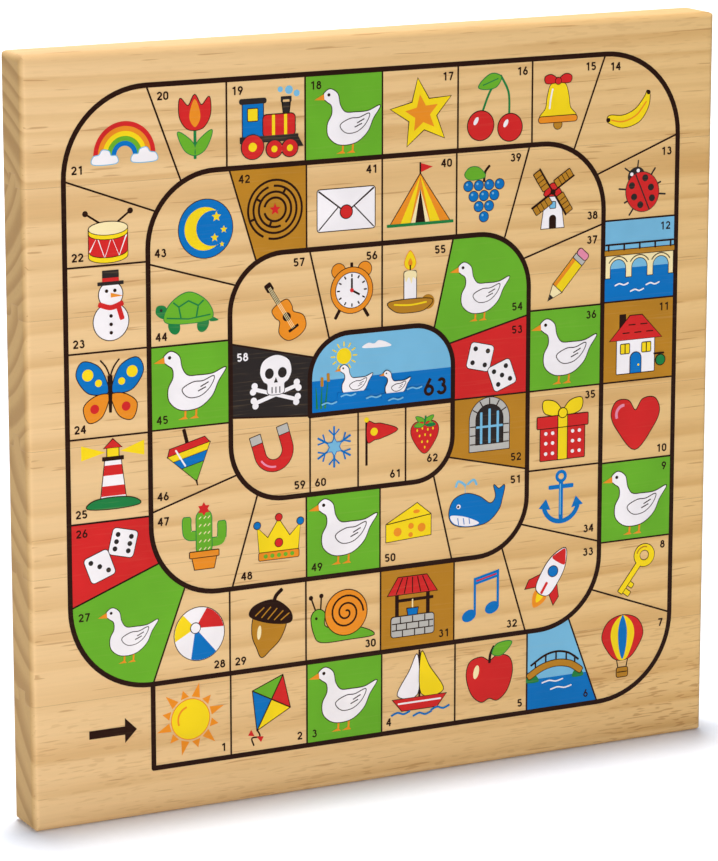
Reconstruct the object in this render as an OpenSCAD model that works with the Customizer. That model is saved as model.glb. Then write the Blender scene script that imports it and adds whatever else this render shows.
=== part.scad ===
/* [Board] */
// Bare margin between the printed square and the board's edge
margin = 16.5; // [9:0.5:30]
// Thickness of the pine panel
board_t = 20; // [18:1:32]
// Radius of the round-over along every arris
round_r = 2.5; // [1:0.5:5]
// Radius of the four corners, seen from the front
corner_r = 3; // [1:0.5:8]

/* [Staves] */
// Number of staves glued edge to edge
stave_count = 6; // [4:1:8]
// Depth of the tongue on a stave's upper edge
tongue_depth = 5; // [3:0.5:8]
// Thickness of that tongue
tongue_t = 6.5; // [4:0.5:10]
// Thickness of the glue in each joint
glue_t = 0.15; // [0.1:0.05:0.3]

/* [Goose side] */
// Width of the track, which is the side of its corner cells
cell = 34; // [30:0.5:38]
// Side of the square in the middle, where the track ends
home_side = 63; // [54:1:70]
// How far above the middle of the face the track is printed
track_lift = 2.4; // [0:0.2:5]
// Width of the line that bounds the track
track_line_w = 2.0; // [1.2:0.1:4]
// Width of the thin lines between cells
divider_w = 0.7; // [0.4:0.1:1.5]
// Radius of the outermost bends of the track
outer_bend_r = 34; // [26:0.5:34]
// How much tighter the bends get with each turn inwards
bend_step = 5.6; // [3:0.2:7.6]
// Half the angle, in degrees, that a corner cell takes up on the bend inside it
corner_spread = 15; // [5:1:30]
// Height of the water below the bridges and in the pond
water_h = 13.5; // [8:0.5:18]
// Length of the starting arrow
arrow_l = 20; // [12:1:24]
// Width of the starting arrow's head
arrow_w = 10; // [6:0.5:15]

/* [Numerals] */
// Height of a cell's numeral
number_h = 3.25; // [2:0.25:5]
// Height of the numeral in the last cell
home_number_h = 7; // [4.5:0.5:10]
// Clear space between a numeral and the lines beside it
number_gap = 1.8; // [0.8:0.1:4]

/* [Ludo side] */
// Radius of the four counter spots in each yard
spot_r = 12; // [8:0.5:15]
// Radius of the stars on the safe cells
star_r = 6; // [3:0.5:7.5]

/* [Ink] */
// Thickness of one printed film of ink
ink_t = 0.1; // [0.05:0.01:0.2]

/* [Hidden] */
$fn = 96;

// Turns of the goose track, and the bend and the run where its squares end
turns = 4;
last_bend = 4 * turns;
last_run = 12;
home_cell = 63;
// The cells before the last one share the final run in this number of parts
short_cells = 3;

// The home square's half, the printed square, the board round it and the width of one stave
home_half = home_side / 2;
print_side = home_side + 2 * (turns - 1) * cell;
board_side = print_side + 2 * margin;
stave_w = board_side / stave_count;

// Cells printed on a coloured ground
green_cells = [3, 9, 18, 27, 36, 45, 49, 54];
red_cells = [26, 53];
ochre_cells = [11, 31, 42, 52];
black_cells = [58];
water_cells = [6, 12, home_cell];

// Cells whose numeral stands at their near end, seen along the track; the others have it at the far end
near_numbers = [
    3, 4, 10, 15, 16, 17, 26, 27, 29, 34, 38, 39, 40, 41, 47, 48, 49, 50, 52, 54, 55, 56, 57, 58, 60
];

// The ludo side is a square of 15 by 15 cells, three of them across each arm
ludo_cells = 15;
ludo_cell = print_side / ludo_cells;
ludo_half = print_side / 2;
arm_half = 1.5 * ludo_cell;
yard_centre = (ludo_half + arm_half) / 2;
yard_open = 4 * ludo_cell;
start_column = -ludo_half + 1.5 * ludo_cell;
safe_column = -ludo_half + 2.5 * ludo_cell;
ludo_colours = ["ludo_red", "ludo_green", "ludo_yellow", "ludo_blue"];

// Numerals are drawn on a body of this width and height, one step apart
digit_w = 3.3;
digit_h = 5;
digit_step = 4;
stroke = 0.95;

// Colours of the wood, the glue and the inks
pine = "#E4BD89";
glue_colour = "#C79A5B";
line_colour = "#3A2618";
green = "#5FA833";
red = "#E22B31";
sky = "#6CB4D0";
blue = "#046DB6";
ochre = "#B57D2C";
black = "#251F1B";
white = "#F0E8E2";
yellow = "#F2CF1F";

stave_nodes = [for (k = [1 : stave_count]) str("stave_", k)];
glue_nodes = [for (k = [1 : stave_count - 1]) str("glue_line_", k)];
goose_nodes = [
    "track_line", "cell_dividers", "cell_numbers", "black_cell_number", "start_arrow",
    "green_cells", "red_cells", "ochre_cells", "black_cell", "sky_fields", "water_fields"
];

// Shared shapes

function reversed(list) = [for (i = [len(list) - 1 : -1 : 0]) list[i]];

// A rectangle about the origin with round corners
module rounded_rectangle(w, h, r) {
    square([w - 2 * r, h], center = true);
    square([w, h - 2 * r], center = true);
    for (x = [-1, 1], y = [-1, 1])
        translate([x * (w / 2 - r), y * (h / 2 - r)])
            circle(r);
}

// A straight stroke from a to b
module bar(a, b, w) {
    translate(a)
        rotate(atan2(b.y - a.y, b.x - a.x))
            translate([0, -w / 2])
                square([norm(b - a), w]);
}

// One film of ink on the wood
module film() {
    linear_extrude(ink_t)
        children();
}

// Stands a drawing up on the front of the board, with the drawing's origin at the middle of the face
module on_front() {
    translate([0, -board_t / 2, board_side / 2])
        rotate([90, 0, 0])
            children();
}

// The same for the goose track, which is printed a little high
module on_goose_side() {
    translate([0, 0, track_lift])
        on_front()
            children();
}

// A drawing on the back, right way up for someone behind the board
module on_back() {
    rotate([0, 0, 180])
        on_front()
            children();
}

// The panel: staves, their tongues and the glue between them

// The panel's outline with its corners and arrises rounded, before it is divided into staves
module panel() {
    translate([0, 0, board_side / 2])
        intersection() {
            rotate([90, 0, 0])
                linear_extrude(2 * board_t, center = true)
                    rounded_rectangle(board_side, board_side, corner_r);
            linear_extrude(2 * board_side, center = true)
                rounded_rectangle(board_side, board_t, round_r);
            along_board()
                rounded_rectangle(board_t, board_side, round_r);
        }
}

// Extrudes a cross-section, drawn as depth and height, past both ends of the board
module along_board() {
    rotate([90, 0, 90])
        linear_extrude(2 * board_side, center = true)
            children();
}

// The tongued edge at joint k: side -1 is the stave below it and side 1 the stave above it
function joint_edge(k, side) =
    let (gap = side * glue_t / 2, z = k * stave_w + gap, y = tongue_t / 2 + gap, top = z + tongue_depth)
    [[-board_t, z], [-y, z], [-y, top], [y, top], [y, z], [board_t, z]];

// The flat lower and upper edges of the panel, taken past the panel
function flat_edge(z) = [[-board_t, z], [board_t, z]];

function lower_edge(k) = k == 1 ? flat_edge(-stave_w) : joint_edge(k - 1, 1);
function upper_edge(k) = k == stave_count ? flat_edge(board_side + stave_w) : joint_edge(k, -1);

module stave(k) {
    color(pine)
        intersection() {
            panel();
            along_board()
                polygon(concat(lower_edge(k), reversed(upper_edge(k))));
        }
}

module glue_line(k) {
    color(glue_colour)
        intersection() {
            panel();
            along_board()
                polygon(concat(joint_edge(k, -1), reversed(joint_edge(k, 1))));
        }
}

// The goose track: bends of a square spiral, numbered from its start inwards

function turn(j) = floor((j - 1) / 4);

// Bends tighten with each turn inwards, and the line's two ends turn sharply
function bend_r(j) = j == 0 || j >= last_bend ? 0 : outer_bend_r - bend_step * turn(j);

function bend_at(j) =
    let (a = home_half + (turns - 1 - turn(j)) * cell, side = (j - 1) % 4)
    j == 0 ? [cell - print_side / 2, -print_side / 2]
    : j > last_bend ? [home_half, 0]
    : [[a, -a], [a, a], [-a, a], [-a, (j == last_bend ? home_half : cell) - a]][side];

function run_length(j) = norm(bend_at(j + 1) - bend_at(j));

// A run's own frame: along the run in x, and in towards the middle of the board in y
module in_run(j) {
    translate(bend_at(j))
        rotate(90 * j)
            children();
}

function turned(p, angle) = [cos(angle) * p.x - sin(angle) * p.y, sin(angle) * p.x + cos(angle) * p.y];
function on_face(j, p) = bend_at(j) + turned(p, 90 * j);
function from_run(j, p) = turned(p - bend_at(j), -90 * j);

// The last run takes up the lower half of the home square
function run_width(j) = j == last_run ? home_half : cell;

// Cells in a run, apart from the corner cell that ends it
function squares(j) =
    j == last_run ? short_cells : round((run_length(j) - home_side) / cell) + (j == 0 ? 1 : 0);
function first_cell(j) = j == 0 ? 1 : first_cell(j - 1) + squares(j - 1) + 1;
function run_of(n, j = last_run) = first_cell(j) <= n ? j : run_of(n, j - 1);
function slot_of(n) = n - first_cell(run_of(n));

// The two ends of the line before cell number i of run j, on the outer and the inner side of the track
function border(j, i) =
    let (
        start = j == 0 ? 0 : cell,
        end = run_length(j) - (j == last_run ? 0 : cell),
        x = start + i * (end - start) / squares(j),
        slanted_start = i == 0 && j > 0,
        slanted_end = i == squares(j) && j < last_run
    )
    slanted_start ? [[cell, 0], inner_end(j, 0)]
    : slanted_end ? [[run_length(j) - cell, 0], inner_end(j, 1)]
    : [[x, 0], [x, run_width(j)]];

// Where a corner cell's line meets the bend inside it: at_end 0 for a run's first line and 1 for its last
function inner_end(j, at_end) =
    let (angle = at_end == 1 ? 315 - corner_spread : 225 + corner_spread)
    inner_bend(j, at_end) + bend_r(j + 4 + at_end) * [cos(angle), sin(angle)];

// Centre of the bend inside the start or the end of run j
function inner_bend(j, at_end) =
    let (k = j + 4 + at_end)
    from_run(j, bend_at(k)) + bend_r(k) * [at_end == 1 ? -1 : 1, 1];

// A quarter ring whose ends lap onto the straight lines, or a round joint where the line turns sharply
module line_bend(r) {
    half = track_line_w / 2;
    if (r == 0)
        circle(half);
    else {
        translate([r, r])
            intersection() {
                difference() {
                    circle(r + half);
                    circle(r - half);
                }
                translate([-r - track_line_w, -r - track_line_w])
                    square(r + track_line_w);
            }
        translate([r, -half])
            square(track_line_w);
        translate([-half, r])
            square(track_line_w);
    }
}

module track_line_shape() {
    translate(bend_at(0) - [track_line_w / 2, 0])
        square([track_line_w, cell]);
    for (j = [0 : last_bend])
        in_run(j) {
            line_bend(bend_r(j));
            translate([bend_r(j), -track_line_w / 2])
                square([run_length(j) - bend_r(j) - bend_r(j + 1), track_line_w]);
        }
}

// The room inside the outer line of run j, with the bends at both its ends
module inside_outer_line(j) {
    half = track_line_w / 2;
    start = bend_r(j);
    end = run_length(j) - bend_r(j + 1);
    translate([start, half])
        square([end - start, 2 * cell]);
    bend_room(start, [start, start], half);
    bend_room(bend_r(j + 1), [end, run_length(j) - end], end);
}

// The round room in one bend, and the room beside it, which starts at x
module bend_room(r, centre, x) {
    room_r = r - track_line_w / 2;
    if (room_r > 0) {
        translate(centre)
            circle(room_r);
        translate([x, centre.y])
            square([room_r, 2 * cell]);
    }
}

// The inner line of run j, with the bends at both its ends and all that lies beyond it
module beyond_inner_line(j) {
    half = track_line_w / 2;
    start = inner_bend(j, 0);
    end = inner_bend(j, 1);
    translate([start.x, run_width(j) - half])
        square([end.x - start.x, 2 * cell]);
    for (at_end = [0, 1])
        translate(inner_bend(j, at_end))
            circle(bend_r(j + 4 + at_end) + half);
}

// Cuts a drawing in run j's frame back to the lines on both sides of the run
module between_lines(j) {
    difference() {
        intersection() {
            children();
            inside_outer_line(j);
        }
        beyond_inner_line(j);
    }
}

// The line before cell number i of run j, which is the track line itself before the first cell of all
module border_line(j, i) {
    ends = border(j, i);
    bar(ends[0], ends[1], j == 0 && i == 0 ? track_line_w : divider_w);
}

// The printed ground of a cell along a run, up to the lines round it
module square_ground(j, i) {
    a = border(j, i);
    b = border(j, i + 1);
    difference() {
        between_lines(j)
            polygon([a[0], b[0], b[1], a[1]]);
        border_line(j, i);
        border_line(j, i + 1);
    }
}

// The printed ground of the corner cell that ends run j
module corner_ground(j) {
    l = run_length(j);
    a = border(j, squares(j));
    far_angle = 315 + corner_spread;
    far_inner = inner_bend(j, 1) + bend_r(j + 5) * [cos(far_angle), sin(far_angle)];
    far_outer = [l, cell];
    difference() {
        between_lines(j)
            polygon([a[0], [l, 0], far_outer, far_inner, a[1]]);
        border_line(j, squares(j));
        bar(far_outer, far_inner, divider_w);
    }
}

// The last cell, which is the upper half of the home square
module home_ground() {
    half = track_line_w / 2;
    r = bend_r(last_bend - 1);
    reach = home_half - half;
    intersection() {
        union() {
            translate([-reach, 0])
                square([2 * reach, home_half - r]);
            translate([r - home_half, 0])
                square([2 * (home_half - r), reach]);
            for (side = [-1, 1])
                translate([side * (home_half - r), home_half - r])
                    circle(r - half);
        }
        translate([-home_half, half])
            square([home_side, home_half]);
    }
}

// The printed ground of cell n, left open where its numeral is printed
module ground(n) {
    j = run_of(n);
    difference() {
        if (n == home_cell)
            home_ground();
        else
            in_run(j)
                if (slot_of(n) == squares(j))
                    corner_ground(j);
                else
                    square_ground(j, slot_of(n));
        cell_number(n);
    }
}

// Height on the face of a cell's lowest corner
function cell_floor(n) =
    let (j = run_of(n), i = slot_of(n), a = border(j, i), b = border(j, i + 1))
    n == home_cell ? 0 : min([for (p = [a[0], b[0], b[1], a[1]]) on_face(j, p).y]);

module water_level(n) {
    translate([-print_side, cell_floor(n)])
        square([2 * print_side, water_h]);
}

module track_line() {
    color(line_colour)
        on_goose_side()
            film()
                track_line_shape();
}

module cell_dividers() {
    color(line_colour)
        on_goose_side()
            film()
                for (j = [0 : last_run])
                    in_run(j)
                        for (i = [j == 0 ? 1 : 0 : j == last_run ? squares(j) - 1 : squares(j)])
                            between_lines(j)
                                border_line(j, i);
}

module tinted_ground(cells, colour) {
    color(colour)
        on_goose_side()
            film()
                for (n = cells)
                    ground(n);
}

module sky_fields() {
    color(sky)
        on_goose_side()
            film()
                for (n = water_cells)
                    difference() {
                        ground(n);
                        water_level(n);
                    }
}

module water_fields() {
    color(blue)
        on_goose_side()
            film()
                for (n = water_cells)
                    intersection() {
                        ground(n);
                        water_level(n);
                    }
}

module start_arrow() {
    shaft = arrow_w / 6;
    head = arrow_w / 2;
    neck = arrow_l / 2 - head;
    color(line_colour)
        on_goose_side()
            film()
                translate(bend_at(0) + [-cell / 2, cell / 2]) {
                    polygon([[neck, -head], [arrow_l / 2, 0], [neck, head]]);
                    translate([-arrow_l / 2, -shaft])
                        square([neck + arrow_l / 2, 2 * shaft]);
                }
}

// Numerals, drawn as round and straight strokes

module stroke_line(a, b) {
    bar(a, b, stroke);
}

// A round stroke about a centre, from one angle to another
module stroke_arc(centre, r, from, to) {
    reach = 2 * r + stroke;
    translate(centre)
        intersection() {
            difference() {
                circle(r + stroke / 2);
                circle(r - stroke / 2);
            }
            polygon(concat([[0, 0]], [for (k = [0 : 4])
                let (angle = from + (to - from) * k / 4)
                reach * [cos(angle), sin(angle)]]));
        }
}

module stroke_ring(centre, r) {
    translate(centre)
        difference() {
            circle(r + stroke / 2);
            circle(r - stroke / 2);
        }
}

// The strokes run half their width inside the body, with a full bowl below and a full or a small one above
module digit(d) {
    left = stroke / 2;
    right = digit_w - left;
    mid = digit_w / 2;
    base = stroke / 2;
    top = digit_h - base;
    bowl = mid - left;
    small_bowl = (top - base) / 2 - bowl;
    low = [mid, base + bowl];
    high = [mid, top - bowl];
    small = [mid, top - small_bowl];
    if (d == 0) {
        stroke_arc(high, bowl, 0, 180);
        stroke_arc(low, bowl, 180, 360);
        for (x = [left, right])
            stroke_line([x, low.y], [x, high.y]);
    }
    if (d == 1) {
        stroke_line([mid + left, 0], [mid + left, digit_h]);
        stroke_line([mid - stroke, high.y + left], [mid + left, top]);
    }
    if (d == 2) {
        stroke_arc(high, bowl, -35, 170);
        stroke_line(high + bowl * [cos(30), -sin(30)], [left, base]);
        stroke_line([left / 2, base], [digit_w, base]);
    }
    if (d == 3) {
        stroke_arc(small, small_bowl, -90, 160);
        stroke_arc(low, bowl, -160, 90);
    }
    if (d == 4) {
        stroke_line([right - left, 0], [right - left, digit_h]);
        stroke_line([mid + left, top], [left, low.y]);
        stroke_line([0, low.y], [digit_w, low.y]);
    }
    if (d == 5) {
        stroke_line([left, top], [right, top]);
        stroke_line([1.5 * left, top], [1.5 * left, low.y + bowl - left]);
        stroke_arc(low, bowl, -150, 130);
    }
    if (d == 6) {
        stroke_ring(low, bowl);
        stroke_line([left, low.y + left / 2], [mid + left, digit_h]);
    }
    if (d == 7) {
        stroke_line([left / 2, top], [digit_w, top]);
        stroke_line([right, top], [mid - left, 0]);
    }
    if (d == 8) {
        stroke_ring(small, small_bowl);
        stroke_ring(low, bowl);
    }
    if (d == 9)
        translate([digit_w, digit_h])
            rotate(180)
                digit(6);
}

function digits(n) = n < 10 ? [n] : [floor(n / 10), n % 10];
function number_w(n, h) = ((len(digits(n)) - 1) * digit_step + digit_w) * h / digit_h;

// A number of height h about the origin
module number(n, h) {
    translate([-number_w(n, h) / 2, -h / 2])
        scale(h / digit_h)
            for (k = [0 : len(digits(n)) - 1])
                translate([k * digit_step, 0])
                    digit(digits(n)[k]);
}

// The numeral sits by the outer line, at one end of its cell, and in the bend of the cell before home.
// A corner cell's far end lies on the next run, and its numeral keeps clear of the line as it bends.
function number_at(n) =
    let (
        near = len(search(n, near_numbers)) > 0,
        corner = slot_of(n) == squares(run_of(n)),
        past = corner && !near,
        j = run_of(n) + (past ? 1 : 0),
        half = [number_w(n, number_h) / 2, number_h / 2],
        half_along = j % 2 == 0 ? half : [half.y, half.x],
        from_line = track_line_w / 2 + number_gap,
        inwards = near ? 1 : -1,
        ends = border(j, past ? 0 : slot_of(n) + (near ? 0 : 1)),
        slant = (ends[1].x - ends[0].x) / (ends[1].y - ends[0].y),
        lean = max(0, inwards * slant) * (from_line + 2 * half_along.y),
        at = ends[0].x + inwards * (lean + divider_w / 2 + number_gap + half_along.x),
        tip = at + inwards * half_along.x,
        r = bend_r(past ? j : j + 1),
        into_bend = corner ? max(0, past ? r - tip : tip - run_length(j) + r) : 0,
        bow = r - sqrt(r * r - into_bend * into_bend),
        reach = (r - from_line - norm(half)) / sqrt(2)
    )
    on_face(j, n == home_cell - 1
        ? [run_length(j) - r + reach, r - reach]
        : [at, from_line + bow + half_along.y]);

// The last numeral is larger, in the lower right corner of its cell
module cell_number(n) {
    from_line = track_line_w / 2 + number_gap;
    home_at = [home_half - from_line - number_w(home_cell, home_number_h) / 2, from_line + home_number_h / 2];
    translate(n == home_cell ? home_at : number_at(n))
        number(n, n == home_cell ? home_number_h : number_h);
}

module cell_numbers() {
    color(line_colour)
        on_goose_side()
            film()
                for (n = [1 : home_cell])
                    if (len(search(n, black_cells)) == 0)
                        cell_number(n);
}

module black_cell_number() {
    color(white)
        on_goose_side()
            film()
                for (n = black_cells)
                    cell_number(n);
}

// The ludo side: four yards, a cross of cells and a home square cut into triangles

// Repeats a quarter of the drawing in each of the four corners
module each_quarter() {
    for (k = [0 : 3])
        rotate(-90 * k)
            children();
}

module four_spots() {
    translate([-yard_centre, yard_centre])
        for (x = [-1, 1], y = [-1, 1])
            translate([x, y] * ludo_cell)
                children();
}

module star(r) {
    points = 5;
    waist = 0.42;
    polygon([for (k = [0 : 2 * points - 1])
        let (angle = 90 + 180 * k / points)
        r * (k % 2 == 0 ? 1 : waist) * [cos(angle), sin(angle)]]);
}

// The left arm's lines and the top left yard's
module quarter_lines() {
    for (x = [-ludo_half + ludo_cell : ludo_cell : -arm_half])
        bar([x, -arm_half], [x, arm_half], divider_w);
    for (y = [-arm_half : ludo_cell : arm_half])
        bar([-ludo_half, y], [-arm_half + divider_w / 2, y], divider_w);
    bar([-arm_half, arm_half], [0, 0], divider_w);
    translate([-yard_centre, yard_centre])
        difference() {
            square(yard_open + divider_w, center = true);
            square(yard_open - divider_w, center = true);
        }
    four_spots()
        difference() {
            circle(spot_r + divider_w);
            circle(spot_r);
        }
    translate([safe_column, -ludo_cell])
        star(star_r);
}

module ludo_lines() {
    color(line_colour)
        on_back()
            film() {
                difference() {
                    square(print_side + track_line_w, center = true);
                    square(print_side - track_line_w, center = true);
                }
                each_quarter()
                    quarter_lines();
            }
}

// The yard, its spots, the start cell, the home column and the home triangle of one colour
module ludo_colour(k) {
    colours = [red, green, yellow, blue];
    open_cell = ludo_cell - divider_w;
    yard_from = -ludo_half + track_line_w / 2;
    yard_side = -arm_half - divider_w / 2 - yard_from;
    home_edge = arm_half - divider_w / 2;
    diagonal = divider_w / sqrt(2);
    color(colours[k])
        on_back()
            rotate(-90 * k)
                film() {
                    difference() {
                        translate([yard_from, -yard_from - yard_side])
                            square(yard_side);
                        translate([-yard_centre, yard_centre])
                            square(yard_open + divider_w, center = true);
                    }
                    four_spots()
                        circle(spot_r);
                    translate([start_column, ludo_cell])
                        square(open_cell, center = true);
                    for (x = [start_column : ludo_cell : -arm_half])
                        translate([x, 0])
                            square(open_cell, center = true);
                    polygon([
                        [-home_edge, diagonal - home_edge], [-diagonal, 0], [-home_edge, home_edge - diagonal]
                    ]);
                }
}

for (k = [1 : stave_count])
    stave(k);
for (k = [1 : stave_count - 1])
    glue_line(k);
track_line();
cell_dividers();
cell_numbers();
black_cell_number();
start_arrow();
tinted_ground(green_cells, green);
tinted_ground(red_cells, red);
tinted_ground(ochre_cells, ochre);
tinted_ground(black_cells, black);  // black_cell
sky_fields();
water_fields();
ludo_lines();
for (k = [0 : 3])
    ludo_colour(k);
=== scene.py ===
import math

import bpy
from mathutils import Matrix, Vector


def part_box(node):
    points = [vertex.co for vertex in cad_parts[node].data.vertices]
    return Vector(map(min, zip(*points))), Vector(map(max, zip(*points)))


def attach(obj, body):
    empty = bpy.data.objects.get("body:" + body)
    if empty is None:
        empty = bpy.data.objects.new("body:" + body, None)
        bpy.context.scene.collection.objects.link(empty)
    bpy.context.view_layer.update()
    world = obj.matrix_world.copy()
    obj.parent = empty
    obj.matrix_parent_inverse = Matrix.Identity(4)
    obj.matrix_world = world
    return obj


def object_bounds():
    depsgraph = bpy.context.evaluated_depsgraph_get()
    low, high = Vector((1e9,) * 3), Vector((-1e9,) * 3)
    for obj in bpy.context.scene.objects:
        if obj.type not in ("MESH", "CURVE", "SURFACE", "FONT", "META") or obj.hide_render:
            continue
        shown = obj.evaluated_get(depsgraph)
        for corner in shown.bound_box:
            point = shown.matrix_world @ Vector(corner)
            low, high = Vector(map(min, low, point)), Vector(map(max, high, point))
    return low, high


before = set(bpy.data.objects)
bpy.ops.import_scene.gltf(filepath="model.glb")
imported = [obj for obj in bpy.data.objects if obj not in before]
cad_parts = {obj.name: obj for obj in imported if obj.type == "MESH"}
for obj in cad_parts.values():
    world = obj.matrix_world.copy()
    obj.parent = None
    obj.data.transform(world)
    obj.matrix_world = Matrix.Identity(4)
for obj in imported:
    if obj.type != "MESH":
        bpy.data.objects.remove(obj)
cad_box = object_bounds()

# The staves: six strips of pine, planed, glued edge to edge and sanded to one panel.
# Each was sawn from another place in the log, so its rings cross the face at their own slant,
# some as straight lines and some as wide, flecked figure.
MM = 0.001
STAVES = 6
BOARD = cad_box[1].z - cad_box[0].z
STAVE = BOARD / STAVES
# How far along the log, in metres, each stave lies from the one before it
APART = 0.37
# How far the log's centre lies behind and above the middle of each stave, how wide its rings are,
# how many resin flecks show, and how dark the strip is, from the bottom of the board to the top
SAWN = [
    {"behind": -44 * MM, "above": 58 * MM, "ring": 11.0 * MM, "flecks": 0.42, "tone": 0.98},
    {"behind": -40 * MM, "above": 66 * MM, "ring": 10.4 * MM, "flecks": 0.08, "tone": 1.0},
    {"behind": -36 * MM, "above": 52 * MM, "ring": 9.6 * MM, "flecks": 0.04, "tone": 1.0},
    {"behind": 44 * MM, "above": 50 * MM, "ring": 8.0 * MM, "flecks": 0.04, "tone": 1.02},
    {"behind": 52 * MM, "above": 62 * MM, "ring": 8.0 * MM, "flecks": 0.06, "tone": 1.0},
    {"behind": 30 * MM, "above": -58 * MM, "ring": 7.0 * MM, "flecks": 0.12, "tone": 1.0},
]


def linear(colour):
    channels = [int(colour[k:k + 2], 16) / 255 for k in (1, 3, 5)]
    return tuple(c / 12.92 if c < 0.04045 else ((c + 0.055) / 1.055) ** 2.4 for c in channels) + (1.0,)


def plug(tree, node, inputs):
    for socket, value in inputs.items():
        if isinstance(value, bpy.types.NodeSocket):
            tree.links.new(value, node.inputs[socket])
        else:
            node.inputs[socket].default_value = value


def add(tree, kind, inputs, **settings):
    node = tree.nodes.new(kind)
    for name, value in settings.items():
        setattr(node, name, value)
    plug(tree, node, inputs)
    return node


# A new material, its tree, and the place on the object that its looks depend on
def new_material(name):
    material = bpy.data.materials.new(name)
    material.use_nodes = True
    tree = material.node_tree
    return material, tree, add(tree, "ShaderNodeTexCoord", {}).outputs["Object"]


def surface(tree, inputs):
    plug(tree, tree.nodes["Principled BSDF"], inputs)


def reckon(tree, operation, *values):
    return add(tree, "ShaderNodeMath", dict(enumerate(values)), operation=operation).outputs[0]


def multiplied(tree, vector, by):
    return add(tree, "ShaderNodeVectorMath", {0: vector, 1: by}, operation="MULTIPLY").outputs[0]


def blend(tree, share, first, second):
    return add(tree, "ShaderNodeMix", {0: share, 6: first, 7: second}, data_type="RGBA").outputs[2]


# A value carried over from one range to another, and held at the ends
def ramp(tree, value, start, end, low=0.0, high=1.0, ease="LINEAR"):
    return add(tree, "ShaderNodeMapRange", {
        "Value": value, "From Min": start, "From Max": end, "To Min": low, "To Max": high},
        interpolation_type=ease).outputs[0]


# Noise with so many grains to the metre along each axis
def noise(tree, place, grains, detail, output="Fac", roughness=0.5):
    stretched = add(tree, "ShaderNodeMapping", {"Vector": place, "Scale": grains}).outputs[0]
    return add(tree, "ShaderNodeTexNoise", {
        "Vector": stretched, "Scale": 1, "Detail": detail, "Roughness": roughness}).outputs[output]


def relief(tree, height, strength, depth):
    return add(tree, "ShaderNodeBump", {
        "Height": height, "Strength": strength, "Distance": depth}).outputs[0]


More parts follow.
